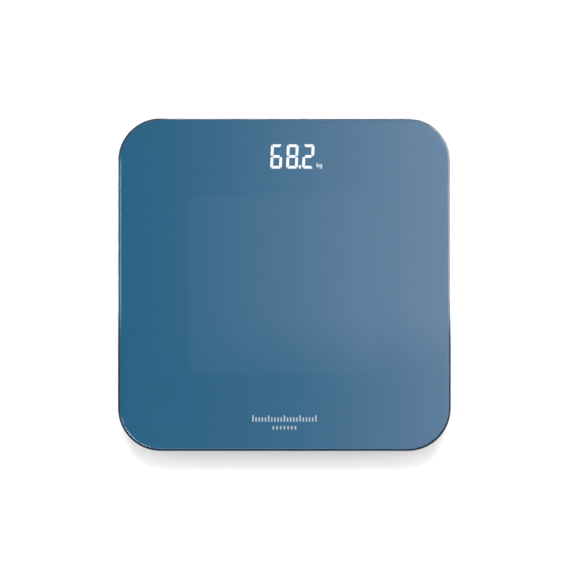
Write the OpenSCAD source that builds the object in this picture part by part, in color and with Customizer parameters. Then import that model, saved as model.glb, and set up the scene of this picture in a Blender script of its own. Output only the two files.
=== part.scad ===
// Digital bathroom scale: a square toughened-glass platform bonded to a slim moulded base,
// with four load-cell feet, a hidden LED readout, a unit button and a hinged battery door.
// Frame: origin on the floor under the middle of the platform, +Z up, the readout towards +Y.

/* [Platform] */
// Side of the square glass platform
glass_w = 280; // [276:1:310]
// Plan radius of the glass corners
glass_r = 36; // [34:1:40]
// Thickness of the toughened glass
glass_t = 5; // [5:0.5:6]
// Radius of the ground and polished pencil edge of the glass
glass_edge = 2.4; // [1.2:0.1:2.4]
// Bare margin between the printed film and the glass edge
film_margin = 2.3; // [2.2:0.1:3.2]

/* [Base] */
// How far the base sits inside the glass on each side
base_inset = 4; // [4:0.5:6]
// Wall thickness of the base moulding
wall = 2.2; // [2:0.1:2.4]
// Radius of the base's lower outside edge
base_edge = 8; // [7:0.5:8]
// Thickness of the stiffening ribs
rib_t = 1.2; // [1:0.1:1.6]

/* [Feet] */
// Radius of the foot below its retainer
foot_r = 20; // [18:0.5:20]
// Radius of the non-slip pad
pad_r = 17; // [15:0.5:17.5]
// How far a foot drops onto its retainer when the scale is lifted
foot_gap = 0.4; // [0.3:0.1:0.6]

/* [Readout] */
// Height of one digit
digit_h = 20.5; // [18:0.5:21]
// Width of one digit
digit_w = 9.8; // [9:0.1:10.4]
// Stroke width of one segment
digit_t = 2.4; // [2.2:0.1:3]
// Spacing of the digits
digit_pitch = 13.4; // [12.8:0.1:13.6]
// Lean of the digits to the right, in degrees
digit_lean = 2.2; // [0:0.2:4]
// Distance from the far glass edge to the middle of the readout
readout_back = 31.9; // [31:0.1:33]

/* [Battery] */
// Radius of one AAA cell
cell_r = 5.25; // [5:0.05:5.25]
// Length of one AAA cell with its positive nub
cell_l = 44.5; // [43.5:0.1:44.6]
// Spacing of the cells
cell_pitch = 11.2; // [10.8:0.1:11.2]

/* [Hidden] */
CORNERS = ["front_left", "front_right", "rear_left", "rear_right"];

$fn = 96;
e0 = 0.01;

// Heights above the floor
z_base = 5;                      // outer face of the base
z_floor = z_base + wall;         // inner face of the base
z_rim = 19.2;                    // top of the base
z_tape = z_rim + 0.6;            // top of the bonding tape
z_film = z_tape + 0.2;           // top of the printed film
z_top = z_film + glass_t;        // the platform's face

base_w = glass_w - 2 * base_inset;
base_r = glass_r - base_inset;
foot_xy = base_w / 2 - 42;       // foot centres
rib_xy = foot_xy - 32;

// Foot stack
cup_bore = 25;
cup_r = 29;
z_roof = 13.8;                   // seat of the load-cell frame
cell_t = 1.6;                    // load-cell plate
z_button = 10.6;                 // where the foot meets the load-cell button
z_flange = z_floor - 0.2 + foot_gap; // underside of the foot flange
pad_t = 2.2;
ret_r = 30;

// Electronics
disp_x = 3;
disp_y = glass_w / 2 - readout_back;
mod_w = 64;
mod_h = 27;
z_pcb = 11.6;
pcb_t = 1.6;
z_pcbt = z_pcb + pcb_t;
z_mod = 19.3;
pcb_w = 96;
pcb_y0 = disp_y - 24.1;
pcb_y1 = disp_y + 17.9;
btn_x = 0;
btn_y = disp_y - 4.1;
lead_z = 10.6;
lead_d = 0.9;

// Battery bay
bay_y = disp_y - 68.1;
bay_x = 25;
bay_hy = 17.2;
bay_wall = 2.6;
cell_z = 12.6;
z_door = 6.6;                    // inner face of the door
hinge_y = bay_y - 20.8;
hinge_z = 6.4;
knuckle_r = 1.4;
door_hx = 26.7;

// ---------------------------------------------------------------- helpers
module rounded_square(w, r) {
    square([w, w - 2 * r], center = true);
    square([w - 2 * r, w], center = true);
    for (x = [-1, 1], y = [-1, 1]) translate([x, y] * (w / 2 - r)) circle(r = r);
}

// Half of a slab's section: x from 0 to b, with its lower and upper outside edges rounded
module edge_profile(b, h, lo, hi) {
    difference() {
        union() {
            square([b - max(lo, hi, 0.001), h]);
            translate([0, lo]) square([b, h - lo - hi]);
            if (lo > 0) translate([b - lo, lo]) circle(r = lo);
            if (hi > 0) translate([b - hi, h - hi]) circle(r = hi);
            if (lo > hi) translate([0, h / 2]) square([b - hi, h / 2]);
            if (hi > lo) square([b - lo, h / 2]);
        }
        translate([-b, -1]) square([b, h + 2]);
    }
}

module full_profile(w, h, lo, hi) {
    for (s = [0, 1]) mirror([s, 0]) edge_profile(w / 2, h, lo, hi);
}

// A rounded-square slab of side w and corner radius r whose lower and upper edges are rounded
module slab(w, r, z0, z1, lo, hi) {
    h = z1 - z0;
    translate([0, 0, z0]) {
        for (a = [0, 90]) rotate([0, 0, a])
            rotate([90, 0, 0]) linear_extrude(height = w - 2 * r, center = true) full_profile(w, h, lo, hi);
        for (a = [0, 90, 180, 270]) rotate([0, 0, a]) translate([w / 2 - r, w / 2 - r, 0])
            rotate_extrude(angle = 90) edge_profile(r, h, lo, hi);
    }
}

module box(x0, x1, y0, y1, z0, z1) { translate([x0, y0, z0]) cube([x1 - x0, y1 - y0, z1 - z0]); }

module rod_x(x0, x1, y, z, r) { translate([x0, y, z]) rotate([0, 90, 0]) cylinder(r = r, h = x1 - x0); }

function corner(i) = [(i % 2 == 0 ? -1 : 1) * foot_xy, (i < 2 ? -1 : 1) * foot_xy];
// Each load cell is turned so that its leads leave towards the middle of the base
function turn(i) = i % 2 == 0 ? 0 : 180;
module at_corner(i) { translate([corner(i)[0], corner(i)[1], 0]) rotate([0, 0, turn(i)]) children(); }

// Round wires along a flat route of straight runs and square turns, each turn bent to one radius
lead_bend = 3;
function unit(v) = v / norm(v);
function left_of(v) = [-v[1], v[0]];
function shifted(p, d) = [for (i = [0 : len(p) - 1])
    let (a = i == 0 ? unit(p[1] - p[0]) : unit(p[i] - p[i - 1]),
         b = i == len(p) - 1 ? a : unit(p[i + 1] - p[i]))
    p[i] + d * (a == b ? left_of(a) : left_of(a) + left_of(b))];
// The wire lies off to the left of the route p by d; r is its radius, z its height and turn_r the bend
module wire(p, d, r, z, turn_r) {
    q = shifted(p, d);
    n = len(q) - 1;
    u = [for (i = [0 : n - 1]) unit(q[i + 1] - q[i])];
    s = [for (i = [0 : n - 2]) u[i][0] * u[i + 1][1] - u[i][1] * u[i + 1][0]];
    b = [for (i = [0 : n - 2]) turn_r - d * s[i]];
    translate([0, 0, z]) {
        for (i = [0 : n - 1]) let (from = q[i] + (i > 0 ? b[i - 1] : 0) * u[i], to = q[i + 1] - (i < n - 1 ? b[i] : 0) * u[i])
            translate([from[0], from[1], 0]) rotate([0, 90, atan2(u[i][1], u[i][0])]) cylinder(r = r, h = norm(to - from));
        for (i = [0 : n - 2]) let (c = q[i + 1] - b[i] * u[i] + b[i] * u[i + 1], v = s[i] > 0 ? -u[i + 1] : u[i])
            translate([c[0], c[1], 0]) rotate([0, 0, atan2(v[1], v[0])])
                rotate_extrude(angle = 90) translate([b[i], 0]) circle(r = r);
    }
}
lead_step = 1.05;
module lead(p) { for (k = [-1 : 1]) wire(p, k * lead_step, lead_d / 2, lead_z + lead_d / 2, lead_bend); }

// Routes of the leads from the load cells to the board
lead_in = foot_xy - 11.6;
function route(i) = let (s = i % 2 == 0 ? -1 : 1)
    i < 2 ? [[s * lead_in, -foot_xy], [s * 54, -foot_xy], [s * 54, pcb_y0 + 5], [s * 42, pcb_y0 + 5]]
          : [[s * lead_in, foot_xy], [s * 57, foot_xy], [s * 57, pcb_y0 + 19], [s * 42, pcb_y0 + 19]];
bat_x = bay_x + bay_wall + 4.4;
bat_z = 11;
function battery_route(s) = [[s * (bat_x - 2.4), bay_y + s * cell_pitch], [s * bat_x, bay_y + s * cell_pitch], [s * bat_x, pcb_y0 + 4]];
function lead_end(i, k) = let (p = shifted(route(i), k * lead_step)) p[len(p) - 1];

// Countersunk screw with a cross recess, head down at z, shank up
module csk_screw(z, r, hr, l) {
    difference() {
        translate([0, 0, z]) union() {
            cylinder(r1 = hr, r2 = r, h = hr - r);
            cylinder(r = r, h = l);
        }
        for (a = [0, 90]) rotate([0, 0, a]) box(-hr * 0.62, hr * 0.62, -0.28, 0.28, z - 1, z + 0.7);
    }
}
// Pan-head screw, head from z to z+hh below the seat when dir is 1, or above it when -1
module pan_screw(z, dir, r, hr, hh, l) {
    translate([0, 0, z]) rotate([dir > 0 ? 0 : 180, 0, 0]) difference() {
        union() {
            translate([0, 0, -hh]) cylinder(r = hr, h = hh);
            cylinder(r = r, h = l);
        }
        for (a = [0, 90]) rotate([0, 0, a]) box(-hr * 0.62, hr * 0.62, -0.25, 0.25, -hh - 1, -hh + 0.6);
    }
}

// ---------------------------------------------------------------- platform
module glass_platform() {
    color([0.78, 0.9, 0.92, 0.45]) slab(glass_w, glass_r, z_film, z_top, glass_edge, glass_edge);
}

module window_outline() { translate([disp_x, disp_y]) square([mod_w, mod_h], center = true); }

module printed_film() {
    color([0.11, 0.33, 0.47]) translate([0, 0, z_tape]) linear_extrude(height = z_film - z_tape) difference() {
        rounded_square(glass_w - 2 * film_margin, glass_r - film_margin);
        window_outline();
        mark_outline();
    }
}

// A row of plain scale ticks with a short row of dashes under it
module mark_outline() {
    y = -glass_w / 2 + 27.3;
    for (k = [-10 : 10]) translate([k * 2.65, y + (k % 5 == 0 ? 0 : -0.9)]) square([1.2, k % 5 == 0 ? 5.4 : 3.6], center = true);
    for (k = [-3 : 3]) translate([k * 3.1, y - 7.8]) square([1.3, 2.8], center = true);
}

module printed_mark() {
    color([0.85, 0.87, 0.88]) translate([0, 0, z_tape]) linear_extrude(height = z_film - z_tape) mark_outline();
}

// The print over the readout is clear where the segments' light guides come up through it
module display_window() {
    color([0.13, 0.36, 0.5]) translate([0, 0, z_tape]) linear_extrude(height = z_film - z_tape) difference() {
        window_outline();
        lit_outline();
        unlit_outline();
    }
}

module platform_adhesive() {
    color([0.12, 0.12, 0.12]) translate([0, 0, z_rim]) linear_extrude(height = z_tape - z_rim) {
        difference() {
            rounded_square(base_w - 1.6, base_r - 0.8);
            rounded_square(base_w - 9, base_r - 4.5);
        }
        for (i = [0 : 3]) translate(corner(i)) difference() {
            circle(r = cup_r - 0.5);
            circle(r = cup_r - 4);
        }
    }
}

// ---------------------------------------------------------------- base
module cup_solid() { cylinder(r = cup_r, h = z_rim - z_base); }

module lattice() {
    hx = base_w / 2 - wall - 0.6;
    zt = z_rim - 0.3;
    for (s = [-1, 1]) {
        box(s * rib_xy - rib_t / 2, s * rib_xy + rib_t / 2, -hx, hx, z_floor - 0.5, zt);
        box(-hx, hx, s * rib_xy - rib_t / 2, s * rib_xy + rib_t / 2, z_floor - 0.5, zt);
    }
    box(-hx, hx, -rib_t / 2, rib_t / 2, z_floor - 0.5, zt);
    box(-rib_t / 2, rib_t / 2, -hx, bay_y - bay_hy - 1, z_floor - 0.5, zt);
}

module lead_slots() {
    // Open-topped slots in the ribs where the leads cross them
    for (i = [0 : 3]) let (p = route(i), s = i % 2 == 0 ? -1 : 1) {
        box(min(s * lead_in, s * 52), max(s * lead_in, s * 52), p[0][1] - 2.4, p[0][1] + 2.4, lead_z - 0.1, z_rim + 1);
    }
    for (s = [-1, 1]) {
        for (y = [-rib_xy, 0, rib_xy]) box(s * 54 - 2.4, s * 54 + 2.4, y - 2, y + 2, lead_z - 0.1, z_rim + 1);
        box(s * bat_x - 1.4, s * bat_x + 1.4, rib_xy - 2, rib_xy + 2, lead_z - 0.1, z_rim + 1);
    }
}

module base_housing() {
    by0 = bay_y - bay_hy;
    by1 = bay_y + bay_hy;
    color([0.2, 0.21, 0.23]) difference() {
        union() {
            difference() {
                slab(base_w, base_r, z_base, z_rim, base_edge, 0);
                slab(base_w - 2 * wall, base_r - wall, z_floor, z_rim + 9, base_edge - wall, 0);
            }
            lattice();
            // Ledge that carries the bonding tape
            translate([0, 0, z_rim - 2]) linear_extrude(height = 2) difference() {
                rounded_square(base_w - wall, base_r - wall / 2);
                rounded_square(base_w - 9, base_r - 4.5);
            }
            // Foot cups
            for (i = [0 : 3]) translate([corner(i)[0], corner(i)[1], z_base]) cup_solid();
            // Battery bay, hinge block and latch pocket
            box(-bay_x - bay_wall, bay_x + bay_wall, by0 - bay_wall, by1 + bay_wall, z_floor - 1, z_rim);
            box(-25.5, 25.5, hinge_y - 3.4, by0, z_floor - 1, z_floor + 2.4);
            box(-8.5, 8.5, by1, by1 + 7.2, z_floor - 1, 13.6);
            // Board posts
            for (p = [[-43, pcb_y1 - 5], [43, pcb_y1 - 5], [-24, pcb_y0 + 4.5], [24, pcb_y0 + 4.5]])
                translate([p[0], p[1], z_floor - 0.5]) cylinder(r = 3, h = z_pcb - z_floor + 0.5);
            // Button guide
            translate([btn_x, btn_y, z_floor - 0.5]) cylinder(r = 8, h = 1.5);
        }
        // Foot cups: bore, relief above the load-cell tongue, upper pocket
        for (i = [0 : 3]) at_corner(i) {
            translate([0, 0, z_base - 1]) cylinder(r = cup_bore, h = z_roof - z_base + 1);
            box(-10, 10, -9, 9, z_roof - 1, z_roof + 1.4);
            difference() {
                translate([0, 0, z_roof + 2.4]) cylinder(r = cup_bore, h = 9);
                for (a = [0, 90]) rotate([0, 0, a]) box(-26, 26, -1, 1, z_roof + 2, z_rim);
                for (s = [-1, 1]) translate([0, s * 13.6, z_roof]) cylinder(r = 3, h = 5);
            }
            // Lead exit, load-cell screw pilots, retainer screw pilots
            box(18, cup_r + 2, -2.4, 2.4, lead_z - 0.1, lead_z + 1.6);
            for (s = [-1, 1]) translate([0, s * 13.6, z_roof - 1]) cylinder(r = 1.15, h = 4.6);
            for (a = [90, 210, 330]) rotate([0, 0, a]) translate([27, 0, z_base - 1]) cylinder(r = 1.15, h = 7.6);
        }
        lead_slots();
        // Battery bay: room for the cells, door recess, hinge trough and pin holes
        box(-bay_x, bay_x, by0, by1, z_base - 1, z_rim - 1.3);
        box(-27.1, 27.1, hinge_y + 1.4, by1 + 1.9, z_base - 1, z_door + 0.3);
        rod_x(-20.3, 20.3, hinge_y, hinge_z, knuckle_r + 0.3);
        box(-20.3, 20.3, hinge_y - knuckle_r - 0.3, hinge_y + 2, z_base - 1, hinge_z);
        rod_x(-22.8, 22.8, hinge_y, hinge_z, 0.86);
        // Latch pocket, its catch and the finger scoop
        box(-6.2, 6.2, by1 - 0.5, by1 + 4.9, z_base - 1, 12.2);
        translate([0, by1 + 8.4, z_base - 4.2]) rotate([0, 90, 0]) cylinder(r = 5.4, h = 12.4, center = true);
        // Slots for the battery terminals
        box(-bay_x - bay_wall - 1, -bay_x + 1, bay_y - cell_pitch - 1.6, bay_y - cell_pitch + 1.6, lead_z - 0.2, lead_z + 1.3);
        box(bay_x - 1, bay_x + bay_wall + 1, bay_y + cell_pitch - 1.6, bay_y + cell_pitch + 1.6, lead_z - 0.2, lead_z + 1.3);
        // Board post pilots
        for (p = [[-43, pcb_y1 - 5], [43, pcb_y1 - 5], [-24, pcb_y0 + 4.5], [24, pcb_y0 + 4.5]])
            translate([p[0], p[1], z_floor - 0.9]) cylinder(r = 1.05, h = 8);
        // Unit button: opening and a shallow finger dish
        translate([btn_x, btn_y, z_base - 1]) cylinder(r = 4.3, h = 6);
        translate([btn_x, btn_y, z_base - 1]) cylinder(r = 7.5, h = 1.5);
        // Shallow seat for the label
        translate([0, -rib_xy / 2 - 2, z_base - 1]) linear_extrude(height = 1.2) square([70.6, 40.6], center = true);
    }
}

module rating_label() {
    color([0.82, 0.83, 0.84]) translate([0, -rib_xy / 2 - 2, z_base + 0.05]) linear_extrude(height = 0.15) {
        square([70, 36], center = true);
        square([66, 40], center = true);
        for (x = [-33, 33], y = [-18, 18]) translate([x, y]) circle(r = 2);
    }
}

// ---------------------------------------------------------------- battery
module battery_door() {
    by1 = bay_y + bay_hy;
    color([0.2, 0.21, 0.23]) difference() {
        union() {
            box(-door_hx, door_hx, hinge_y + 2.1, by1 + 1.4, z_base, z_door);
            box(-20, 20, hinge_y, hinge_y + 2.2, z_base, z_door);
            rod_x(-20, 20, hinge_y, hinge_z, knuckle_r);
            rod_x(-22.4, 22.4, hinge_y, hinge_z, 0.8);
            // Ribs that steady the cells
            for (x = [-14, 0, 14]) box(x - 0.7, x + 0.7, bay_y - 13, bay_y + 13, z_door - 0.1, z_door + 0.4);
            // Folded latch spring with its finger tab
            box(-5.5, 5.5, by1 + 0.4, by1 + 1.4, z_door - 0.1, 10.8);
            box(-5.5, 5.5, by1 + 0.4, by1 + 4.1, 9.8, 10.8);
            box(-5.5, 5.5, by1 + 3.1, by1 + 4.1, z_base + 0.2, 9.9);
            box(-5.5, 5.5, by1 + 2.1, by1 + 3.2, z_base + 0.2, z_base + 1.2);
        }
        // Grip lines beside the latch
        for (k = [0 : 4]) box(-7, 7, by1 - 3.4 - k * 1.9, by1 - 2.5 - k * 1.9, z_base - 1, z_base + 0.35);
    }
}

module battery_cell(k) {
    s = k == 1 ? -1 : 1;
    y = bay_y + (k - 1) * cell_pitch;
    nub = 24.6;
    color([0.75, 0.76, 0.78]) translate([0, y, cell_z]) rotate([0, s > 0 ? 90 : -90, 0]) {
        translate([0, 0, nub - cell_l]) cylinder(r = cell_r, h = cell_l - 1.2);
        translate([0, 0, nub - 1.3]) cylinder(r = 1.9, h = 1.3);
    }
}

module battery_contact_plates() {
    zl = 7.8;
    zh = 17.4;
    q = cell_pitch;
    color([0.8, 0.8, 0.78]) {
        box(-bay_x, -24.6, bay_y - q - 4.5, bay_y - q + 4.5, zl, zh);
        box(-bay_x - bay_wall - 2, -bay_x + e0, bay_y - q - 1.2, bay_y - q + 1.2, lead_z, lead_z + 0.4);
        box(-bay_x, -24.6, bay_y - 4.5, bay_y + q + 4.5, zl, zh);
        box(24.6, bay_x, bay_y - q - 4.5, bay_y + 4.5, zl, zh);
        box(24.6, bay_x, bay_y + q - 4.5, bay_y + q + 4.5, zl, zh);
        box(bay_x - e0, bay_x + bay_wall + 2, bay_y + q - 1.2, bay_y + q + 1.2, lead_z, lead_z + 0.4);
    }
}

// Conical coil spring along +X from x 0 to l, swept as a tube of n sides
module coil(l, r0, r1, d, turns) {
    n = 8;
    m = ceil(turns * 16);
    c = [for (i = [0 : m]) let (t = i / m, a = 360 * turns * t, r = r0 + (r1 - r0) * t)
        [d / 2 + (l - d) * t, r * cos(a), r * sin(a)]];
    pts = [for (i = [0 : m]) let (t = i / m, a = 360 * turns * t)
        for (j = [0 : n - 1]) c[i] + d / 2 * [sin(360 * j / n), cos(360 * j / n) * cos(a), cos(360 * j / n) * sin(a)]];
    polyhedron(pts, concat(
        [for (i = [0 : m - 1], j = [0 : n - 1]) [i * n + j, i * n + (j + 1) % n, (i + 1) * n + (j + 1) % n]],
        [for (i = [0 : m - 1], j = [0 : n - 1]) [i * n + j, (i + 1) * n + (j + 1) % n, (i + 1) * n + j]],
        [[for (j = [n - 1 : -1 : 0]) j]],
        [[for (j = [0 : n - 1]) m * n + j]]));
}

module battery_springs() {
    gap = 49.2 - cell_l;
    color([0.78, 0.78, 0.76]) for (k = [0 : 2]) translate([0, bay_y + (k - 1) * cell_pitch, cell_z])
        rotate([0, 0, k == 1 ? 180 : 0]) translate([-24.6, 0, 0]) coil(gap, 3.6, 2.2, 0.7, 3.5);
}

module battery_lead_negative() { color([0.08, 0.08, 0.08]) wire(battery_route(-1), 0, 0.55, bat_z, 1.6); }
module battery_lead_positive() { color([0.7, 0.08, 0.06]) wire(battery_route(1), 0, 0.55, bat_z, 1.6); }

// ---------------------------------------------------------------- electronics
post_xy = [[-43, pcb_y1 - 5], [43, pcb_y1 - 5], [-24, pcb_y0 + 4.5], [24, pcb_y0 + 4.5]];
pin_xy = [for (i = [0 : 5], s = [-1, 1]) [disp_x - 25 + i * 10, disp_y + s * 11.5]];

module main_board() {
    color([0.05, 0.3, 0.16]) translate([0, 0, z_pcb]) linear_extrude(height = pcb_t) difference() {
        translate([-pcb_w / 2, pcb_y0]) square([pcb_w, pcb_y1 - pcb_y0]);
        for (p = post_xy) translate(p) circle(r = 1.3);
        for (p = pin_xy) translate(p) circle(r = 0.45);
        // Notches that key the board to the base
        for (s = [-1, 1]) translate([s * pcb_w / 2, pcb_y0 + 24]) square([4, 3], center = true);
    }
}

module solder_joints() {
    color([0.75, 0.76, 0.78]) {
        for (i = [0 : 3], k = [-1 : 1]) let (q = lead_end(i, k)) translate([q[0], q[1], lead_z + 0.2]) cylinder(r1 = 0.35, r2 = 0.5, h = z_pcb - lead_z - 0.2);
        for (s = [-1, 1]) {
            translate([s * bat_x, pcb_y0 + 4, lead_z]) cylinder(r1 = 0.6, r2 = 0.9, h = z_pcb - lead_z);
            translate([s * (bat_x - 2.6), bay_y + s * cell_pitch, lead_z + 0.4]) cylinder(r1 = 0.9, r2 = 0.6, h = 0.7);
        }
    }
}

module board_screws() {
    color([0.62, 0.63, 0.65]) for (p = post_xy) translate([p[0], p[1], 0]) pan_screw(z_pcbt, -1, 1, 2.1, 1.1, 5.2);
}

module display_module() {
    color([0.09, 0.09, 0.1]) difference() {
        translate([disp_x - mod_w / 2, disp_y - mod_h / 2, z_pcbt]) cube([mod_w, mod_h, z_mod - z_pcbt]);
        // Open back of the reflector block
        translate([disp_x - mod_w / 2 + 1.5, disp_y - mod_h / 2 + 3.6, z_pcbt - 1]) cube([mod_w - 3, mod_h - 7.2, 4.6]);
    }
}

module display_pins() {
    color([0.75, 0.75, 0.72]) for (p = pin_xy) translate([p[0], p[1], z_pcb - 0.7]) cylinder(r = 0.3, h = z_pcbt - z_pcb + 0.7);
}

module display_gasket() {
    color([0.06, 0.06, 0.06]) translate([disp_x, disp_y, z_mod]) linear_extrude(height = z_tape - z_mod) difference() {
        square([mod_w, mod_h], center = true);
        square([mod_w - 3, mod_h - 3], center = true);
    }
}

// Segment outlines of one digit with its lower left corner at the origin. c cuts the corners, g is the gap.
g = 0.26;
c = 1.3;
function seg(k, w, h, t) =
    k == 0 ? [[c + g, h], [w - c - g, h], [w - c * 0.5 - g * 1.7, h - c * 0.5], [w - t + 0.1 - g, h - t], [t - 0.1 + g, h - t], [c * 0.5 + g * 1.7, h - c * 0.5]] :
    k == 3 ? [[c + g, 0], [w - c - g, 0], [w - c * 0.5 - g * 1.7, c * 0.5], [w - t + 0.1 - g, t], [t - 0.1 + g, t], [c * 0.5 + g * 1.7, c * 0.5]] :
    k == 6 ? [[t * 0.62 + g, h / 2], [t + g, h / 2 + t / 2], [w - t - g, h / 2 + t / 2], [w - t * 0.62 - g, h / 2], [w - t - g, h / 2 - t / 2], [t + g, h / 2 - t / 2]] :
    k == 5 ? [[0, h - c], [c * 0.5, h - c * 0.5 - g], [t, h - t - g * 0.4], [t, h / 2 + t / 2 + g], [t * 0.62, h / 2 + g * 1.6], [t * 0.35, h / 2 + g * 1.6], [0, h / 2 + t * 0.45]] :
    k == 4 ? [for (p = seg(5, w, h, t)) [p[0], h - p[1]]] :
    k == 1 ? [for (p = seg(5, w, h, t)) [w - p[0], p[1]]] :
             [for (p = seg(5, w, h, t)) [w - p[0], h - p[1]]];
function leaned(p) = [for (q = p) [q[0] + q[1] * tan(digit_lean), q[1]]];
digit_x0 = disp_x - 15;
digit_y0 = disp_y - digit_h / 2 - 0.25;
module digit(n, on) {
    translate([digit_x0 + n * digit_pitch, digit_y0])
        for (k = on) polygon(leaned(seg(k, digit_w, digit_h, digit_t)));
}
module stroke(a, b, t) {
    v = b - a;
    translate((a + b) / 2) rotate(atan2(v[1], v[0])) square([norm(v) + t * 0.6, t], center = true);
}
module unit_icon() {
    translate([digit_x0 + 3 * digit_pitch - 1.1, digit_y0]) {
        stroke([0.3, 1.3], [0.3, 4.8], 0.55);
        stroke([0.5, 2.6], [1.7, 3.7], 0.5);
        stroke([0.7, 2.8], [1.7, 1.4], 0.5);
        difference() {
            translate([3.35, 2.5]) circle(r = 1.2, $fn = 32);
            translate([3.35, 2.5]) circle(r = 0.65, $fn = 32);
        }
        stroke([4.3, 0.7], [4.3, 3.5], 0.55);
        stroke([2.7, 0.25], [4.15, 0.25], 0.5);
    }
}
module lit_outline() {
    digit(0, [0, 2, 3, 4, 5, 6]);
    digit(1, [0, 1, 2, 3, 4, 5, 6]);
    digit(2, [0, 1, 3, 4, 6]);
    translate([digit_x0 + 2 * digit_pitch - 1.75, digit_y0 + 1.5]) square([1.6, 3], center = true);
    unit_icon();
}
module unlit_outline() {
    digit(-1, [1, 2]);
    digit(0, [1]);
    digit(2, [2, 5]);
}
module at_segments() { translate([0, 0, z_mod]) linear_extrude(height = z_film - z_mod) children(); }
module display_segments_lit() { color([1, 1, 1]) at_segments() lit_outline(); }
module display_segments_unlit() { color([0.2, 0.4, 0.52]) at_segments() unlit_outline(); }

module chip(x, y, w, l, h, n, pitch) {
    translate([x, y, z_pcbt]) {
        translate([-w / 2, -l / 2, 0.15]) cube([w, l, h]);
        for (s = [-1, 1], i = [0 : n - 1]) translate([s * (w / 2 + 0.45), (i - (n - 1) / 2) * pitch, 0.3]) cube([0.92, 0.4, 0.6], center = true);
    }
}
module controller_chip() { color([0.07, 0.07, 0.08]) chip(-39, disp_y - 2, 7.5, 17.9, 2, 14, 1.27); }
module converter_chip() { color([0.07, 0.07, 0.08]) chip(41.5, disp_y + 2, 4, 9.9, 1.5, 8, 1.1); }
module board_passives() {
    color([0.72, 0.66, 0.5]) for (p = [[-46, -16], [-42, -16], [-38, -16], [-34, -16], [38.5, -10], [42, -10], [45.5, -10], [38.5, -14], [42, -14]])
        translate([p[0], disp_y + p[1], z_pcbt]) translate([-0.6, -1, 0]) cube([1.2, 2, 0.8]);
}
module filter_capacitor() { color([0.16, 0.18, 0.3]) translate([44, disp_y - 20, z_pcbt]) cylinder(r = 2.5, h = 5); }

module unit_switch() {
    color([0.7, 0.7, 0.68]) difference() {
        translate([btn_x - 3, btn_y - 3, z_pcb - 1.6]) cube([6, 6, 1.6]);
        translate([btn_x, btn_y, z_pcb - 2]) cylinder(r = 1.65, h = 1.6);
    }
}
module switch_plunger() { color([0.08, 0.08, 0.08]) translate([btn_x, btn_y, z_pcb - 2.2]) cylinder(r = 1.5, h = 1.4); }
module unit_button() {
    color([0.62, 0.64, 0.66]) translate([btn_x, btn_y, 0]) difference() {
        union() {
            translate([0, 0, z_base + 0.3]) cylinder(r = 4, h = 3.5);
            translate([0, 0, z_floor + 1.3]) cylinder(r = 5.6, h = 0.6);
            translate([0, 0, z_floor + 1.3]) cylinder(r = 2, h = z_pcb - 2.2 - z_floor - 1.3);
        }
        // Finger dish
        translate([0, 0, z_base - 11.3]) sphere(r = 12);
    }
}

// ---------------------------------------------------------------- load cells and feet
// Stamped plate: a square frame with a tongue held by one neck on the lead side
module load_cell(i) {
    z = z_roof - cell_t;
    color([0.66, 0.67, 0.69]) at_corner(i) {
        difference() {
            union() {
                translate([0, 0, z]) linear_extrude(height = cell_t) difference() {
                    union() {
                        square([34, 28], center = true);
                        square([28, 34], center = true);
                        for (x = [-14, 14], y = [-14, 14]) translate([x, y]) circle(r = 3);
                    }
                    difference() {
                        translate([-10, -8]) square([20, 16]);
                        translate([-8, -6]) square([19, 12]);
                    }
                    translate([6.2, -7.5]) square([3.8, 2.6]);
                    translate([6.2, 4.9]) square([3.8, 2.6]);
                }
                translate([0, 0, z_button]) cylinder(r1 = 2.2, r2 = 3.4, h = z - z_button);
                translate([0, 0, z_roof]) cylinder(r = 2.6, h = 0.7);
            }
            for (s = [-1, 1]) translate([0, s * 13.6, z - 1]) cylinder(r = 1.3, h = 4);
        }
    }
}

module strain_gauges() {
    color([0.6, 0.35, 0.12]) for (i = [0 : 3]) at_corner(i)
        translate([8.1, 0, z_roof - cell_t - 0.1]) linear_extrude(height = 0.1) square([6, 4], center = true);
}
module gauge_sealant() {
    color([0.93, 0.93, 0.9]) for (i = [0 : 3]) at_corner(i) difference() {
        translate([8.3, 0, z_roof - cell_t - 1]) linear_extrude(height = 0.9) {
            square([4, 4.8], center = true);
            for (x = [-2, 2]) translate([x, 0]) circle(r = 2.4);
        }
        box(foot_xy - lead_in - 0.1, 20, -1.8, 1.8, lead_z - 1, lead_z + lead_d + 0.05);
    }
}
module load_cell_screws() {
    color([0.62, 0.63, 0.65]) for (i = [0 : 3], s = [-1, 1]) at_corner(i)
        translate([0, s * 13.6, 0]) pan_screw(z_roof - cell_t, 1, 1.1, 2.2, 1.1, 4.4);
}

module foot_cup(i) {
    zl = 1.4;
    color([0.17, 0.18, 0.2]) translate([corner(i)[0], corner(i)[1], 0]) difference() {
        union() {
            translate([0, 0, zl + 0.8]) cylinder(r = foot_r, h = z_flange + 2 - zl - 0.8);
            translate([0, 0, zl]) cylinder(r1 = foot_r - 0.8, r2 = foot_r, h = 0.8);
            translate([0, 0, z_flange]) cylinder(r = foot_r + 2, h = 2);
            cylinder_boss = 6;
            translate([0, 0, z_flange]) cylinder(r = cylinder_boss, h = z_button - z_flange);
        }
        // Seat for the pad
        translate([0, 0, zl - 1]) cylinder(r = pad_r + 0.15, h = 1 + pad_t - zl);
        // Pockets that keep the moulding's walls even
        for (a = [0 : 60 : 300]) rotate([0, 0, a + 30]) translate([0, 0, 4.2]) intersection() {
            difference() { cylinder(r = foot_r - 2, h = 9); cylinder(r = 7.6, h = 9); }
            linear_extrude(height = 9) polygon([[2, 0], [30, 30 * tan(27)], [30, -30 * tan(27)]]);
        }
    }
}

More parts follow.
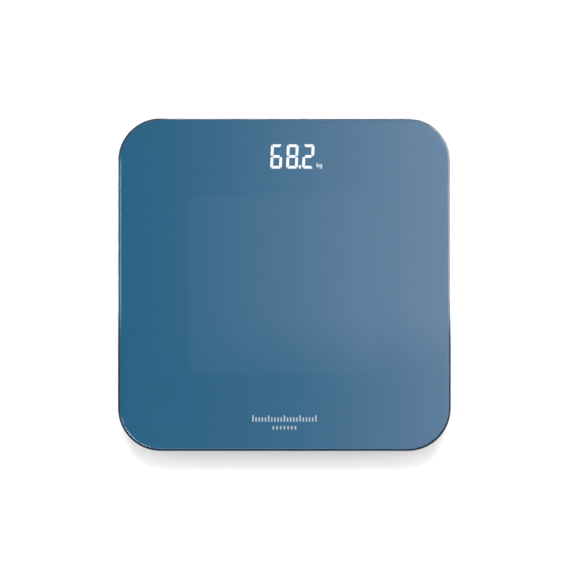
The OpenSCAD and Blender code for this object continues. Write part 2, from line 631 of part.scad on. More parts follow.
module foot_pad(i) {
    color([0.1, 0.1, 0.11]) translate([corner(i)[0], corner(i)[1], 0]) difference() {
        union() {
            translate([0, 0, 0.5]) cylinder(r = pad_r, h = pad_t - 0.5);
            cylinder(r1 = pad_r - 0.5, r2 = pad_r, h = 0.5);
        }
        // Grip grooves
        for (r = [6, 11]) translate([0, 0, -1]) difference() { cylinder(r = r + 0.6, h = 1.6); cylinder(r = r - 0.6, h = 1.6); }
    }
}

module foot_retainer(i) {
    color([0.2, 0.21, 0.23]) at_corner(i) difference() {
        union() {
            translate([0, 0, 3.8]) cylinder(r = ret_r, h = z_base - 3.8);
            translate([0, 0, 3.4]) cylinder(r1 = ret_r - 0.4, r2 = ret_r, h = 0.4);
            translate([0, 0, z_base - 0.5]) cylinder(r = cup_bore - 0.3, h = z_floor - 0.2 - z_base + 0.5);
        }
        translate([0, 0, 0]) cylinder(r = foot_r + 0.5, h = 12);
        for (a = [90, 210, 330]) rotate([0, 0, a]) translate([27, 0, 0]) {
            translate([0, 0, 3]) cylinder(r = 1.25, h = 6);
            translate([0, 0, 3.4]) cylinder(r1 = 2.3, r2 = 1.15, h = 1.15);
        }
    }
}
module retainer_screws() {
    color([0.62, 0.63, 0.65]) for (i = [0 : 3]) at_corner(i)
        for (a = [90, 210, 330]) rotate([0, 0, a]) translate([27, 0, 0]) csk_screw(3.4, 1.1, 2.2, 8);
}

module gauge_lead(i) {
    color([0.85, 0.85, 0.83]) lead(route(i));
}

glass_platform();
printed_film();
printed_mark();
display_window();
platform_adhesive();
base_housing();
battery_door();
battery_cell(0);  // battery_cell_1
battery_cell(1);  // battery_cell_2
battery_cell(2);  // battery_cell_3
battery_contact_plates();
battery_springs();
battery_lead_positive();
battery_lead_negative();
main_board();
solder_joints();
board_screws();
display_module();
display_pins();
display_segments_lit();
display_segments_unlit();
display_gasket();
controller_chip();
converter_chip();
board_passives();
filter_capacitor();
unit_switch();
switch_plunger();
unit_button();
strain_gauges();
gauge_sealant();
load_cell_screws();
retainer_screws();
rating_label();
for (i = [0 : 3]) {
    load_cell(i);
    foot_cup(i);
    foot_pad(i);
    foot_retainer(i);
    gauge_lead(i);
}
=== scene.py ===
import bpy
import bmesh
import math
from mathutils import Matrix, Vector


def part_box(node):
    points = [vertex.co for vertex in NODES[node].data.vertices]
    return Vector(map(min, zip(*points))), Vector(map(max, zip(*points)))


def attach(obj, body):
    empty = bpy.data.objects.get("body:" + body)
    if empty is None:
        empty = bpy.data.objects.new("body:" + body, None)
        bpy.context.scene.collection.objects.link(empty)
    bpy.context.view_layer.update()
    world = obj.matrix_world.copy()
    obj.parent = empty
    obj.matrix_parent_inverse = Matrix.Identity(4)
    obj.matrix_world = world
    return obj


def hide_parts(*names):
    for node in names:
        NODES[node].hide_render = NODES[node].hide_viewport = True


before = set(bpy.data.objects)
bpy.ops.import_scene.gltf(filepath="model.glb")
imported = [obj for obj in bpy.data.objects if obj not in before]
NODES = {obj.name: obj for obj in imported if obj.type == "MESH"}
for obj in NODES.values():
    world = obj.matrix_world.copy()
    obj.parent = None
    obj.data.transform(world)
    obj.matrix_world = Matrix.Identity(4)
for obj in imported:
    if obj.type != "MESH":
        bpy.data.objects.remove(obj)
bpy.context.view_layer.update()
scene = bpy.context.scene

MM = 0.001


# ---------------------------------------------------------------- small helpers
class Tree:
    """Short calls for building a node tree."""

    def __init__(self, material):
        material.use_nodes = True
        self.nt = material.node_tree
        self.nt.nodes.clear()
        self._coord = None

    def add(self, kind, inputs=None, **props):
        n = self.nt.nodes.new("ShaderNode" + kind)
        for key, value in props.items():
            setattr(n, key, value)
        for key, value in (inputs or {}).items():
            self.put(n.inputs[key], value)
        return n

    def put(self, socket, value):
        if isinstance(value, bpy.types.NodeSocket):
            self.nt.links.new(value, socket)
        else:
            socket.default_value = value

    def coord(self):
        if self._coord is None:
            self._coord = self.add("TexCoord").outputs["Object"]
        return self._coord

    def math(self, op, a, b=0.0, c=None, clamp=False):
        n = self.add("Math", operation=op, use_clamp=clamp)
        self.put(n.inputs[0], a)
        self.put(n.inputs[1], b)
        if c is not None:
            self.put(n.inputs[2], c)
        return n.outputs[0]

    def noise(self, scale, detail=2.0, rough=0.5, vector=None, distortion=0.0):
        n = self.add("TexNoise", {"Scale": scale, "Detail": detail, "Roughness": rough, "Distortion": distortion})
        self.put(n.inputs["Vector"], vector if vector is not None else self.coord())
        return n.outputs["Fac"]

    def span(self, value, low, high, smooth=True, from_low=0.0, from_high=1.0):
        n = self.add("MapRange", {"From Min": from_low, "From Max": from_high, "To Min": low, "To Max": high},
                     interpolation_type="SMOOTHSTEP" if smooth else "LINEAR")
        self.put(n.inputs["Value"], value)
        return n.outputs["Result"]

    def mix(self, fac, a, b, blend="MIX"):
        n = self.add("Mix", data_type="RGBA", blend_type=blend)
        self.put(n.inputs["Factor"], fac)
        for socket, value in ((n.inputs[6], a), (n.inputs[7], b)):
            self.put(socket, value if isinstance(value, bpy.types.NodeSocket) else rgb(value))
        return n.outputs[2]

    def scaled(self, colour, value):
        """colour times a grey value"""
        n = self.add("VectorMath", operation="SCALE")
        self.put(n.inputs[0], colour if isinstance(colour, bpy.types.NodeSocket) else tuple(colour[:3]))
        self.put(n.inputs["Scale"], value)
        return n.outputs[0]

    def bump(self, height, strength, distance, normal=None):
        n = self.add("Bump", {"Strength": strength, "Distance": distance, "Height": height})
        if normal is not None:
            self.put(n.inputs["Normal"], normal)
        return n.outputs["Normal"]

    def principled(self, **inputs):
        names = {k.replace("_", " "): v for k, v in inputs.items()}
        return self.add("BsdfPrincipled", names)

    def out(self, shader, volume=None):
        o = self.add("OutputMaterial")
        self.put(o.inputs["Surface"], shader)
        if volume is not None:
            self.put(o.inputs["Volume"], volume)


def rgb(c):
    return (c[0], c[1], c[2], c[3] if len(c) > 3 else 1.0)


def material(name):
    m = bpy.data.materials.new(name)
    return m, Tree(m)


def dress(obj, mat):
    """Puts one material on every slot of an object."""
    if obj.data.materials:
        for i in range(len(obj.data.materials)):
            obj.data.materials[i] = mat
    else:
        obj.data.materials.append(mat)


def link(obj):
    scene.collection.objects.link(obj)
    return obj


def mesh_object(name, verts, faces, smooth=True):
    me = bpy.data.meshes.new(name)
    me.from_pydata([tuple(v) for v in verts], [], faces)
    me.update()
    bm = bmesh.new()
    bm.from_mesh(me)
    bmesh.ops.recalc_face_normals(bm, faces=bm.faces[:])
    for f in bm.faces:
        f.smooth = smooth
    bm.to_mesh(me)
    bm.free()
    return link(bpy.data.objects.new(name, me))


def ring(half, radius, z, steps):
    """A rounded square's outline at height z, anticlockwise, 4 * (steps + 1) points."""
    radius = max(radius, 1e-5)
    pts = []
    for k, (sx, sy) in enumerate(((1, 1), (-1, 1), (-1, -1), (1, -1))):
        for i in range(steps + 1):
            a = math.radians(90 * k + 90 * i / steps)
            pts.append(Vector((sx * (half - radius) + radius * math.cos(a), sy * (half - radius) + radius * math.sin(a), z)))
    return pts


def lofted(name, loops, cap_low=True, cap_high=True):
    """A closed skin through outline loops with the same number of points."""
    n = len(loops[0])
    verts = [p for loop in loops for p in loop]
    faces = []
    for k in range(len(loops) - 1):
        for i in range(n):
            j = (i + 1) % n
            faces.append((k * n + i, k * n + j, (k + 1) * n + j, (k + 1) * n + i))
    if cap_low:
        faces.append(tuple(range(n - 1, -1, -1)))
    if cap_high:
        faces.append(tuple((len(loops) - 1) * n + i for i in range(n)))
    return mesh_object(name, verts, faces)


# ---------------------------------------------------------------- materials
BLUE = (0.0285, 0.1568, 0.2715)


def make_print(name, gain=1.0):
    """Metallic teal-blue ink printed on the underside of the glass."""
    m, t = material(name)
    flake = t.noise(9000.0, 2.0, 0.6)
    cloud = t.noise(14.0, 3.0, 0.55)
    sep = t.add("SeparateXYZ", {"Vector": t.coord()})
    # a tone-on-tone rounded rectangle in the middle of the platform
    parts = []
    for axis, half in (("X", 0.079), ("Y", 0.075)):
        a = t.math("ABSOLUTE", sep.outputs[axis])
        parts.append(t.math("MAXIMUM", t.math("SUBTRACT", a, half - 0.004), 0.0))
    away = t.math("SQRT", t.math("ADD", t.math("MULTIPLY", parts[0], parts[0]), t.math("MULTIPLY", parts[1], parts[1])))
    inside = t.span(away, 1.0, 0.0, from_low=0.0035, from_high=0.0048)
    tone = t.math("MULTIPLY", t.span(cloud, 0.985, 1.015, smooth=False), t.span(flake, 0.94, 1.06, smooth=False))
    colour = t.scaled((BLUE[0] * gain, BLUE[1] * gain, BLUE[2] * gain), tone)
    haze = t.scaled((1.0, 0.95, 1.0), t.math("MULTIPLY", inside, 0.0105))
    both = t.add("VectorMath", {0: colour, 1: haze}, operation="ADD")
    colour = both.outputs[0]
    rough = t.span(flake, 0.34, 0.40, smooth=False)
    shader = t.principled(Base_Color=colour, Roughness=rough)
    shader.inputs["Metallic"].default_value = 0.0
    shader.inputs["Specular IOR Level"].default_value = 0.0
    t.out(shader.outputs[0])
    return m


def make_glass():
    m, t = material("clear_toughened_glass")
    glass = t.principled(Roughness=0.0, IOR=1.52)
    glass.inputs["Base Color"].default_value = (0.93, 0.985, 0.975, 1.0)
    glass.inputs["Transmission Weight"].default_value = 1.0
    through = t.add("BsdfTransparent", {"Color": (0.97, 0.99, 0.99, 1.0)})
    path = t.add("LightPath")
    mixed = t.add("MixShader")
    t.put(mixed.inputs[0], path.outputs["Is Shadow Ray"])
    t.put(mixed.inputs[1], glass.outputs[0])
    t.put(mixed.inputs[2], through.outputs[0])
    t.out(mixed.outputs[0])
    return m


def make_lit():
    m, t = material("lit_segment")
    grain = t.noise(420.0, 2.0, 0.5)
    shader = t.principled(Roughness=0.4)
    shader.inputs["Base Color"].default_value = (0.05, 0.055, 0.06, 1.0)
    colour = t.mix(grain, (0.96, 0.985, 1.0), (1.0, 1.0, 1.0))
    t.put(shader.inputs["Emission Color"], colour)
    shader.inputs["Emission Strength"].default_value = 0.95
    t.out(shader.outputs[0])
    return m


def make_silver(name="silver_ink"):
    m, t = material(name)
    flake = t.noise(7000.0, 2.0, 0.6)
    colour = t.mix(flake, (0.52, 0.58, 0.62), (0.66, 0.71, 0.75))
    shader = t.principled(Base_Color=colour, Roughness=0.42)
    shader.inputs["Metallic"].default_value = 0.0
    t.out(shader.outputs[0])
    return m


def make_plastic(name, colour, rough=(0.48, 0.62), grain=1900.0, depth=0.05 * MM, strength=0.35, spec=0.45, vary=0.12):
    """Moulded plastic with a spark-eroded texture."""
    m, t = material(name)
    fine = t.noise(grain, 3.0, 0.6)
    cells = t.add("TexVoronoi", {"Scale": grain * 0.55}, feature="SMOOTH_F1")
    t.put(cells.inputs["Vector"], t.coord())
    wide = t.noise(22.0, 3.0, 0.5)
    tone = t.math("MULTIPLY", t.span(wide, 1.0 - vary, 1.0 + vary, smooth=False), t.span(fine, 0.93, 1.07, smooth=False))
    base = t.scaled(colour, tone)
    height = t.math("ADD", t.math("MULTIPLY", fine, 0.7), t.math("MULTIPLY", cells.outputs["Distance"], 0.6))
    normal = t.bump(height, strength, depth)
    shader = t.principled(Base_Color=base, Roughness=t.span(fine, rough[0], rough[1], smooth=False), Normal=normal)
    shader.inputs["Specular IOR Level"].default_value = spec
    t.out(shader.outputs[0])
    return m


def make_rubber(name, colour):
    m, t = material(name)
    fine = t.noise(1300.0, 4.0, 0.65)
    dust = t.span(t.noise(160.0, 4.0, 0.6), 0.0, 1.0, from_low=0.55, from_high=0.8)
    base = t.mix(t.math("MULTIPLY", dust, 0.12), colour, (0.35, 0.34, 0.33))
    shader = t.principled(Base_Color=base, Roughness=t.span(fine, 0.72, 0.92, smooth=False), Normal=t.bump(fine, 0.4, 0.04 * MM))
    shader.inputs["Specular IOR Level"].default_value = 0.3
    t.out(shader.outputs[0])
    return m


def make_metal(name, colour, rough=(0.28, 0.42), brush=(1.0, 1.0, 14.0), grain=900.0, depth=0.01 * MM):
    m, t = material(name)
    mapped = t.add("Mapping", {"Vector": t.coord(), "Scale": brush})
    streak = t.noise(grain, 3.0, 0.6, vector=mapped.outputs[0])
    blotch = t.noise(120.0, 3.0, 0.6)
    base = t.scaled(colour, t.math("MULTIPLY", t.span(streak, 0.9, 1.08, smooth=False), t.span(blotch, 0.94, 1.05, smooth=False)))
    shader = t.principled(Base_Color=base, Roughness=t.span(streak, rough[0], rough[1], smooth=False), Normal=t.bump(streak, 0.2, depth))
    shader.inputs["Metallic"].default_value = 1.0
    t.out(shader.outputs[0])
    return m


def make_gloss(name, colour, rough=(0.16, 0.26), grain=300.0):
    m, t = material(name)
    fine = t.noise(grain, 3.0, 0.6)
    base = t.scaled(colour, t.span(fine, 0.92, 1.08, smooth=False))
    shader = t.principled(Base_Color=base, Roughness=t.span(fine, rough[0], rough[1], smooth=False))
    shader.inputs["Specular IOR Level"].default_value = 0.5
    t.out(shader.outputs[0])
    return m


def make_board():
    """Green solder mask over copper tracks on a square grid."""
    m, t = material("solder_mask_green")
    bricks = t.add("TexBrick", {"Scale": 260.0, "Mortar Size": 0.09, "Color1": (0.012, 0.11, 0.045, 1), "Color2": (0.016, 0.135, 0.055, 1), "Mortar": (0.03, 0.2, 0.09, 1)})
    t.put(bricks.inputs["Vector"], t.coord())
    fine = t.noise(500.0, 2.0, 0.5)
    shader = t.principled(Base_Color=bricks.outputs["Color"], Roughness=t.span(fine, 0.25, 0.36, smooth=False), Normal=t.bump(bricks.outputs["Fac"], 0.3, 0.03 * MM))
    t.out(shader.outputs[0])
    return m


def make_cell_sleeve(name, tone):
    """A dry cell's plain printed sleeve: two bands of colour along its length, and bare steel at the ends."""
    m, t = material(name)
    sep = t.add("SeparateXYZ", {"Vector": t.coord()})
    x = t.math("ABSOLUTE", sep.outputs["X"])
    band = t.span(t.math("MULTIPLY", sep.outputs["X"], tone), 0.0, 1.0, from_low=0.008, from_high=0.009)
    ends = t.span(x, 0.0, 1.0, from_low=0.0193, from_high=0.0196)
    body = t.mix(band, (0.03, 0.035, 0.04), (0.45, 0.30, 0.10))
    base = t.mix(ends, body, (0.62, 0.62, 0.63))
    fine = t.noise(400.0, 3.0, 0.6)
    shader = t.principled(Base_Color=base, Roughness=t.span(fine, 0.24, 0.34, smooth=False), Metallic=t.span(ends, 0.15, 1.0, smooth=False))
    t.out(shader.outputs[0])
    return m


def make_label():
    """A plain satin label: a fine border line and three blank ruled fields."""
    m, t = material("plain_label")
    fine = t.noise(700.0, 3.0, 0.6)
    low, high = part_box("rating_label")
    cx, cy, hx, hy = (low.x + high.x) / 2, (low.y + high.y) / 2, (high.x - low.x) / 2, (high.y - low.y) / 2
    sep = t.add("SeparateXYZ", {"Vector": t.coord()})
    x = t.math("SUBTRACT", sep.outputs["X"], cx)
    y = t.math("SUBTRACT", sep.outputs["Y"], cy)

    def frame_line(x0, y0, w, h, line):
        """1 on the outline of a box centred at x0, y0 with half sizes w, h"""
        ax = t.math("SUBTRACT", t.math("ABSOLUTE", t.math("SUBTRACT", x, x0)), w)
        ay = t.math("SUBTRACT", t.math("ABSOLUTE", t.math("SUBTRACT", y, y0)), h)
        edge = t.math("ABSOLUTE", t.math("MAXIMUM", ax, ay))
        return t.span(edge, 1.0, 0.0, from_low=line * 0.5, from_high=line * 0.8)

    lines = frame_line(0.0, 0.0, hx - 1.6 * MM, hy - 1.6 * MM, 0.35 * MM)
    for x0, y0, w, h in ((-0.45 * hx, 0.35 * hy, 0.36 * hx, 0.32 * hy), (0.42 * hx, 0.35 * hy, 0.40 * hx, 0.32 * hy), (0.0, -0.45 * hy, 0.81 * hx, 0.30 * hy)):
        lines = t.math("MAXIMUM", lines, frame_line(x0, y0, w, h, 0.25 * MM))
    plain = t.scaled((0.52, 0.53, 0.54), t.span(fine, 0.95, 1.05, smooth=False))
    base = t.mix(t.math("MULTIPLY", lines, 0.8), plain, (0.08, 0.085, 0.09))
    shader = t.principled(Base_Color=base, Roughness=t.span(fine, 0.38, 0.5, smooth=False))
    shader.inputs["Metallic"].default_value = 0.4
    t.out(shader.outputs[0])
    return m


PRINT = make_print("metallic_blue_print")
GLASS = make_glass()
LIT = make_lit()
SILVER = make_silver()
HOUSING = make_plastic("charcoal_abs_textured", (0.020, 0.022, 0.026), rough=(0.66, 0.8), spec=0.14)
FOOT = make_plastic("black_abs_satin", (0.022, 0.023, 0.026), rough=(0.4, 0.5), grain=2600.0, strength=0.2)
RUBBER = make_rubber("pad_rubber_black", (0.014, 0.014, 0.015))
TAPE = make_rubber("bonding_tape_black", (0.02, 0.02, 0.021))
GASKET = make_rubber("light_seal_foam", (0.012, 0.012, 0.012))
SILICONE = make_rubber("white_sealant", (0.62, 0.62, 0.58))
STEEL = make_metal("zinc_plated_steel", (0.60, 0.61, 0.62))
STAMPED = make_metal("stamped_steel", (0.52, 0.53, 0.54), brush=(14.0, 1.0, 1.0), grain=700.0)
NICKEL = make_metal("nickel_plate", (0.66, 0.65, 0.62), rough=(0.14, 0.24), grain=600.0)
SOLDER = make_metal("bright_solder", (0.68, 0.69, 0.70), rough=(0.2, 0.34), brush=(1, 1, 1), grain=1500.0)
BOARD = make_board()
CHIP = make_plastic("chip_compound", (0.016, 0.016, 0.018), rough=(0.5, 0.62), grain=3200.0, strength=0.25)
TAN = make_plastic("chip_ceramic", (0.36, 0.27, 0.16), rough=(0.45, 0.6), grain=2600.0, strength=0.2)
CAN = make_gloss("capacitor_sleeve", (0.02, 0.03, 0.09))
MODULE = make_plastic("readout_module", (0.02, 0.025, 0.03), rough=(0.45, 0.55), grain=1600.0, strength=0.25)
KEY = make_plastic("key_grey", (0.16, 0.165, 0.175), rough=(0.32, 0.42), grain=2600.0, strength=0.15)
FOIL = make_gloss("gauge_foil_amber", (0.35, 0.14, 0.03))
WIRE_RED = make_gloss("wire_red", (0.38, 0.02, 0.015), rough=(0.3, 0.4))
WIRE_BLACK = make_gloss("wire_black", (0.012, 0.012, 0.012), rough=(0.3, 0.4))
WIRE_WHITE = make_gloss("wire_white", (0.62, 0.62, 0.6), rough=(0.3, 0.4))
LABEL = make_label()
CELL_A = make_cell_sleeve("cell_sleeve_a", 1.0)
CELL_B = make_cell_sleeve("cell_sleeve_b", -1.0)

FINISH = {
    "glass_platform": GLASS, "printed_film": PRINT, "printed_mark": SILVER, "display_window": PRINT,
    "platform_adhesive": TAPE, "base_housing": HOUSING, "battery_door": HOUSING,
    "battery_cell_1": CELL_A, "battery_cell_2": CELL_B, "battery_cell_3": CELL_A,
    "battery_contact_plates": NICKEL, "battery_springs": NICKEL, "battery_lead_positive": WIRE_RED,
    "battery_lead_negative": WIRE_BLACK, "main_board": BOARD, "solder_joints": SOLDER, "board_screws": STEEL,
    "display_module": MODULE, "display_pins": SOLDER, "display_segments_lit": LIT, "display_segments_unlit": PRINT,
    "display_gasket": GASKET, "controller_chip": CHIP, "converter_chip": CHIP, "board_passives": TAN,
    "filter_capacitor": CAN, "unit_switch": NICKEL, "switch_plunger": CHIP, "unit_button": KEY,
    "strain_gauges": FOIL, "gauge_sealant": SILICONE, "load_cell_screws": STEEL, "retainer_screws": STEEL,
    "rating_label": LABEL,
}
for name, obj in NODES.items():
    if name in FINISH:
        dress(obj, FINISH[name])
    elif name.startswith("load_cell_"):
        dress(obj, STAMPED)
    elif name.startswith("foot_cup_"):
        dress(obj, FOOT)
    elif name.startswith("foot_pad_"):
        dress(obj, RUBBER)
    elif name.startswith("foot_retainer_"):
        dress(obj, HOUSING)
    elif name.startswith("gauge_lead_"):
        dress(obj, WIRE_WHITE)

# ---------------------------------------------------------------- the glass platform
g_low, g_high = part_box("glass_platform")
HALF = (g_high.x - g_low.x) / 2
CORNER = 36 * MM
Z_TOP = g_high.z
Z_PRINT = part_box("printed_film")[1].z
Z_BED = Z_PRINT - 0.15 * MM  # the glass closes a hair under the ink's face, so that the ink sits in the glass with no air under it
TOP_EDGE = 2.68 * MM
LOW_EDGE = 2.4 * MM


def build_glass():
    steps = 40
    profile = []  # (inset from the outline, height), from the middle of the bed up and over to the middle of the face
    profile.append((6.0 * MM, Z_BED))
    profile.append((LOW_EDGE + 0.35 * MM, Z_BED))
    k = 16
    for i in range(k + 1):
        a = math.radians(90 * i / k)
        profile.append((LOW_EDGE * (1 - math.sin(a)), Z_BED + LOW_EDGE * (1 - math.cos(a))))
    k = 20
    for i in range(k + 1):
        a = math.radians(90 * i / k)
        profile.append((TOP_EDGE * (1 - math.cos(a)), Z_TOP - TOP_EDGE * (1 - math.sin(a))))
    profile.append((TOP_EDGE + 0.35 * MM, Z_TOP))
    profile.append((6.0 * MM, Z_TOP))
    loops = [ring(HALF - d, CORNER - d, z, steps) for d, z in profile]
    obj = lofted("platform_glass", loops)
    dress(obj, GLASS)
    w = obj.modifiers.new("even_normals", "WEIGHTED_NORMAL")
    w.keep_sharp = False
    w.weight = 100
    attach(obj, "platform")
    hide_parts("glass_platform")
    return obj


glass = build_glass()

# ---------------------------------------------------------------- floor, lights, camera
floor_mesh = bpy.data.meshes.new("floor")
F = 6.0
floor_mesh.from_pydata([(-F, -F, 0), (F, -F, 0), (F, F, 0), (-F, F, 0)], [], [(0, 1, 2, 3)])
floor = link(bpy.data.objects.new("floor", floor_mesh))
fm, ft = material("pale_floor")
fs = ft.principled(Roughness=0.9)
fs.inputs["Base Color"].default_value = (0.86, 0.86, 0.86, 1.0)
fs.inputs["Specular IOR Level"].default_value = 0.1
# painted reflection: to glossy rays the floor glows with a painted pattern in place of its lit white, and the polished
# rim mirrors it as highlights: bright at the far side and at the right, fading towards the near side
fx, fy, _ = ft.add("SeparateXYZ", {"Vector": ft.coord()}).outputs


def fade(value, low, high, a=0.0, b=1.0):
    return ft.span(value, a, b, from_low=low, from_high=high)


lit_y = fade(fy, -0.050, -0.013)
at_left = ft.math("MULTIPLY", ft.math("MULTIPLY", fade(fx, -0.140, -0.146), lit_y), fade(fy, 0.125, 0.095))
at_right = ft.math("MULTIPLY", fade(fx, 0.140, 0.146), lit_y)
at_far = ft.math("MULTIPLY", fade(fy, 0.145, 0.165), fade(fx, -0.115, -0.090))
close = fade(fx, -0.165, -0.152)
# painted highlight strength: how brightly the floor glows in the rim's mirror image at the left, the right and the far
# side
painted_reflection_level = ft.math("ADD", ft.math("MULTIPLY", ft.math("MULTIPLY", at_left, close), 5.5), ft.math("MULTIPLY", ft.math("MAXIMUM", at_right, at_far), 8.0))
beyond = ft.scaled((0.5, 1.2, 1.8), ft.math("MULTIPLY", at_left, ft.math("SUBTRACT", 1.0, close)))
blue = ft.add("VectorMath", {0: beyond, 1: (0.05, 0.19, 0.34)}, operation="ADD")
painted_reflection_colour = ft.add("VectorMath", {0: ft.scaled((1.0, 1.05, 1.08), painted_reflection_level), 1: blue.outputs[0]}, operation="ADD")
mirrored = ft.add("Emission", {"Strength": 1.0, "Color": painted_reflection_colour.outputs[0]})
fmix = ft.add("MixShader")
ft.put(fmix.inputs[0], ft.add("LightPath").outputs["Is Glossy Ray"])
ft.put(fmix.inputs[1], fs.outputs[0])
ft.put(fmix.inputs[2], mirrored.outputs[0])
# painted shade: to rays that the polished rim bends towards the eye, the floor shows a flat dim blue in place of its
# lit white, so that the rim reads as a dark line all round
through = ft.add("Emission", {"Strength": 1.0})
through.inputs["Color"].default_value = (0.045, 0.105, 0.165, 1)
fbent = ft.add("MixShader")
ft.put(fbent.inputs[0], ft.add("LightPath").outputs["Is Transmission Ray"])
ft.put(fbent.inputs[1], fmix.outputs[0])
ft.put(fbent.inputs[2], through.outputs[0])
ft.out(fbent.outputs[0])
dress(floor, fm)


def area(name, location, target, size, power, size_y=None, colour=(1, 1, 1)):
    data = bpy.data.lights.new(name, "AREA")
    data.shape = "RECTANGLE"
    data.size = size
    data.size_y = size_y or size
    data.energy = power
    data.color = colour
    obj = link(bpy.data.objects.new(name, data))
    obj.location = location
    obj.rotation_euler = (Vector(target) - Vector(location)).to_track_quat("-Z", "Y").to_euler()
    return obj


# a wide soft key from the far side: it only throws the soft shadow on the near side
sun_data = bpy.data.lights.new("key", "SUN")
sun_data.energy = 3.5
sun_data.angle = math.radians(36)
sun = link(bpy.data.objects.new("key", sun_data))
sun.rotation_euler = Vector((-0.02, -1.43, -1.0)).to_track_quat("-Z", "Y").to_euler()
sun.visible_glossy = False
sun.visible_transmission = False

# the room is an even pale tent, dimmer where the glass mirrors or refracts it
world = bpy.data.worlds.new("studio")
scene.world = world
wt = Tree(world)
background = wt.add("Background")
rays = wt.add("LightPath")
wt.put(background.inputs["Strength"], 1.0)
# the mirrored room is a dim blue, a little lighter towards the horizon
up = wt.add("SeparateXYZ", {"Vector": wt.add("TexCoord").outputs["Generated"]}).outputs["Z"]
low = wt.math("MULTIPLY", wt.span(up, 0.0, 1.0, from_low=-0.02, from_high=0.06), wt.span(up, 1.0, 0.0, from_low=0.25, from_high=0.6))
room = wt.mix(low, (0.05, 0.065, 0.08), (0.17, 0.26, 0.36))
seen = wt.mix(rays.outputs["Is Glossy Ray"], (1.28, 1.28, 1.28), room)
wt.put(background.inputs["Color"], wt.mix(rays.outputs["Is Transmission Ray"], seen, (0.02, 0.07, 0.13)))
wt.put(wt.add("OutputWorld").inputs["Surface"], background.outputs[0])

# A graded softbox hangs over the set. Only the glass sees it, as its mirror image: dark at the left, brighter to the
# right, brightest to the far right, which gives the face its slow change of tone and the rim its highlights.
PANEL_Z = 1.0
SPREAD = 1.109  # how much larger than the platform its mirror image on the panel is
panel_mesh = bpy.data.meshes.new("softbox_panel")
W = 1.6
panel_mesh.from_pydata([(-W, -W, 0), (-W, W, 0), (W, W, 0), (W, -W, 0)], [], [(0, 1, 2, 3)])
panel = link(bpy.data.objects.new("softbox_panel", panel_mesh))
panel.location = (0, 0, PANEL_Z)
for flag in ("visible_camera", "visible_diffuse", "visible_transmission", "visible_volume_scatter", "visible_shadow"):
    setattr(panel, flag, False)
pm, pt = material("softbox_diffuser")
place = pt.add("SeparateXYZ", {"Vector": pt.coord()})
X, Y, _ = place.outputs


def soft(value, low, high, a=0.0, b=1.0, smooth=True):
    return pt.span(value, a, b, smooth=smooth, from_low=low, from_high=high)


def times(*values):
    out = values[0]
    for v in values[1:]:
        out = pt.math("MULTIPLY", out, v)
    return out


def plus(*values):
    out = values[0]
    for v in values[1:]:
        out = pt.math("ADD", out, v)
    return out


lean = soft(Y, -0.015 * SPREAD, -0.085 * SPREAD, 0.0, 0.060 * SPREAD)
band = pt.math("SUBTRACT", X, lean)
ramp = pt.math("POWER", soft(band, -0.155 * SPREAD, 0.125 * SPREAD, smooth=False), 1.6)
bright = plus(1.0, times(soft(X, 0.22, 0.60), soft(Y, -0.06, 0.02, 0.0, 1.0), 1.6))
wide = times(soft(Y, -0.55, -0.22), soft(Y, 1.3, 0.9))
left = times(4.8, soft(X, -0.17, -0.24), soft(X, -1.3, -0.9), soft(Y, -0.055, -0.015), soft(Y, 0.14, 0.11))
near = times(1.3, soft(Y, -0.35, -0.50), soft(pt.math("ABSOLUTE", X), 0.45, 0.2))
away = pt.math("SQRT", plus(times(X, X), times(Y, Y)))
corner = times(9.5, soft(X, -0.20, -0.34), soft(Y, -0.20, -0.34), soft(away, 0.42, 0.52), soft(away, 1.15, 0.95))
foot = times(0.17, soft(X, -0.160, -0.115), soft(X, 0.01, -0.06), soft(Y, -0.025, -0.065), soft(Y, -0.30, -0.20))
glow = plus(times(2.98, ramp, bright, wide), left, near, corner, foot, 0.10)
mirrors = pt.math("SUBTRACT", 1.0, pt.add("LightPath").outputs["Is Transmission Ray"])
lamp = pt.add("Emission", {"Strength": pt.math("ADD", pt.math("MULTIPLY", glow, mirrors), 0.02)})
lamp.inputs["Color"].default_value = (0.975, 0.90, 1.04, 1)
pt.out(lamp.outputs[0])
dress(panel, pm)


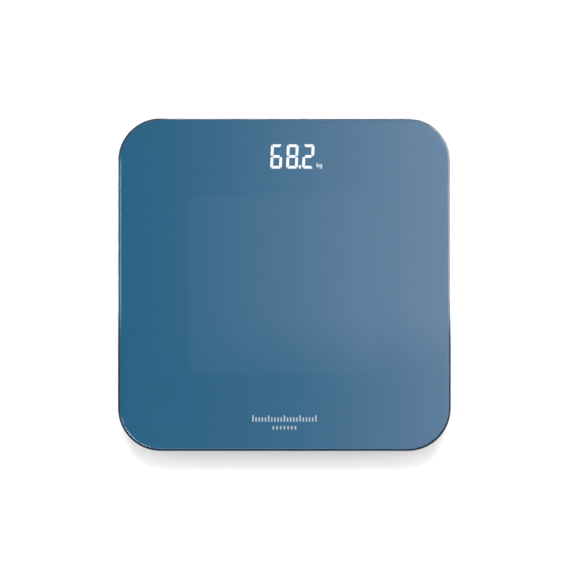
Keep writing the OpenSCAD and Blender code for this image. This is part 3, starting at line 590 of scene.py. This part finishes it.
def card(name, place, turn, left_end, right_end, height, level):
    """An upright reflector that only the glass mirrors. level(tree, along, up) gives its brightness."""
    me = bpy.data.meshes.new(name)
    me.from_pydata([(0, left_end, 0), (0, right_end, 0), (0, right_end, height), (0, left_end, height)], [], [(0, 1, 2, 3)])
    obj = link(bpy.data.objects.new(name, me))
    obj.location = place
    obj.rotation_euler = (0, 0, math.radians(turn))
    for flag in ("visible_camera", "visible_diffuse", "visible_transmission", "visible_volume_scatter", "visible_shadow"):
        setattr(obj, flag, False)
    m, t = material(name + "_white")
    _, along, up = t.add("SeparateXYZ", {"Vector": t.coord()}).outputs
    mirrors = t.math("SUBTRACT", 1.0, t.add("LightPath").outputs["Is Transmission Ray"])
    shine = t.add("Emission", {"Strength": t.math("MULTIPLY", level(t, along, up), mirrors)})
    shine.inputs["Color"].default_value = (0.96, 1.0, 1.03, 1)
    # it adds its light to the room behind it, so that its ends leave no edge in the glass
    both = t.add("AddShader")
    t.put(both.inputs[0], shine.outputs[0])
    t.put(both.inputs[1], t.add("BsdfTransparent").outputs[0])
    t.out(both.outputs[0])
    dress(obj, m)


# one card stands at the right of the far half and lights that stretch of the rim; two more, seen in the face from low
# angles, are graded in height, so that the sheen on the glass falls off from one side of the face to the other
card("side_card", (0.64, 0, 0), 0, -0.06, 0.9, 0.45,
     lambda t, a, z: t.span(a, 0.0, 4.5, from_low=-0.05, from_high=0.0))
card("far_card", (-0.62, 0.62, 0.01), -45, -0.75, 0.75, 1.0,
     lambda t, a, z: t.math("MULTIPLY", t.span(z, 0.08, 1.1, from_low=0.24, from_high=0.64), t.span(t.math("ABSOLUTE", a), 1.0, 0.0, from_low=0.35, from_high=0.75)))
card("near_card", (0.66, -0.66, 0.01), -45, -0.6, 0.6, 0.8,
     lambda t, a, z: t.math("MULTIPLY", t.span(z, 0.06, 0.5, from_low=0.12, from_high=0.42), t.span(t.math("ABSOLUTE", a), 1.0, 0.0, from_low=0.25, from_high=0.6)))

scene.view_settings.view_transform = "Standard"
scene.view_settings.look = "None"
scene.view_settings.exposure = 0.0
scene.view_settings.gamma = 1.0

# the camera looks straight down; one photo pixel is 0.8416 mm on the platform
PIXEL = 0.28 / 332.7
HEIGHT = 9.0
cam_data = bpy.data.cameras.new("camera")
cam_data.sensor_fit = "HORIZONTAL"
cam_data.sensor_width = 36.0
cam_data.lens = 36.0 * (HEIGHT - 0.0225) / (570 * PIXEL)
cam_data.clip_start = 0.01
cam_data.clip_end = 50.0
camera = link(bpy.data.objects.new("camera", cam_data))
camera.location = (0.6 * PIXEL, -0.4 * PIXEL, HEIGHT)
camera.rotation_euler = (0, 0, 0)
scene.camera = camera
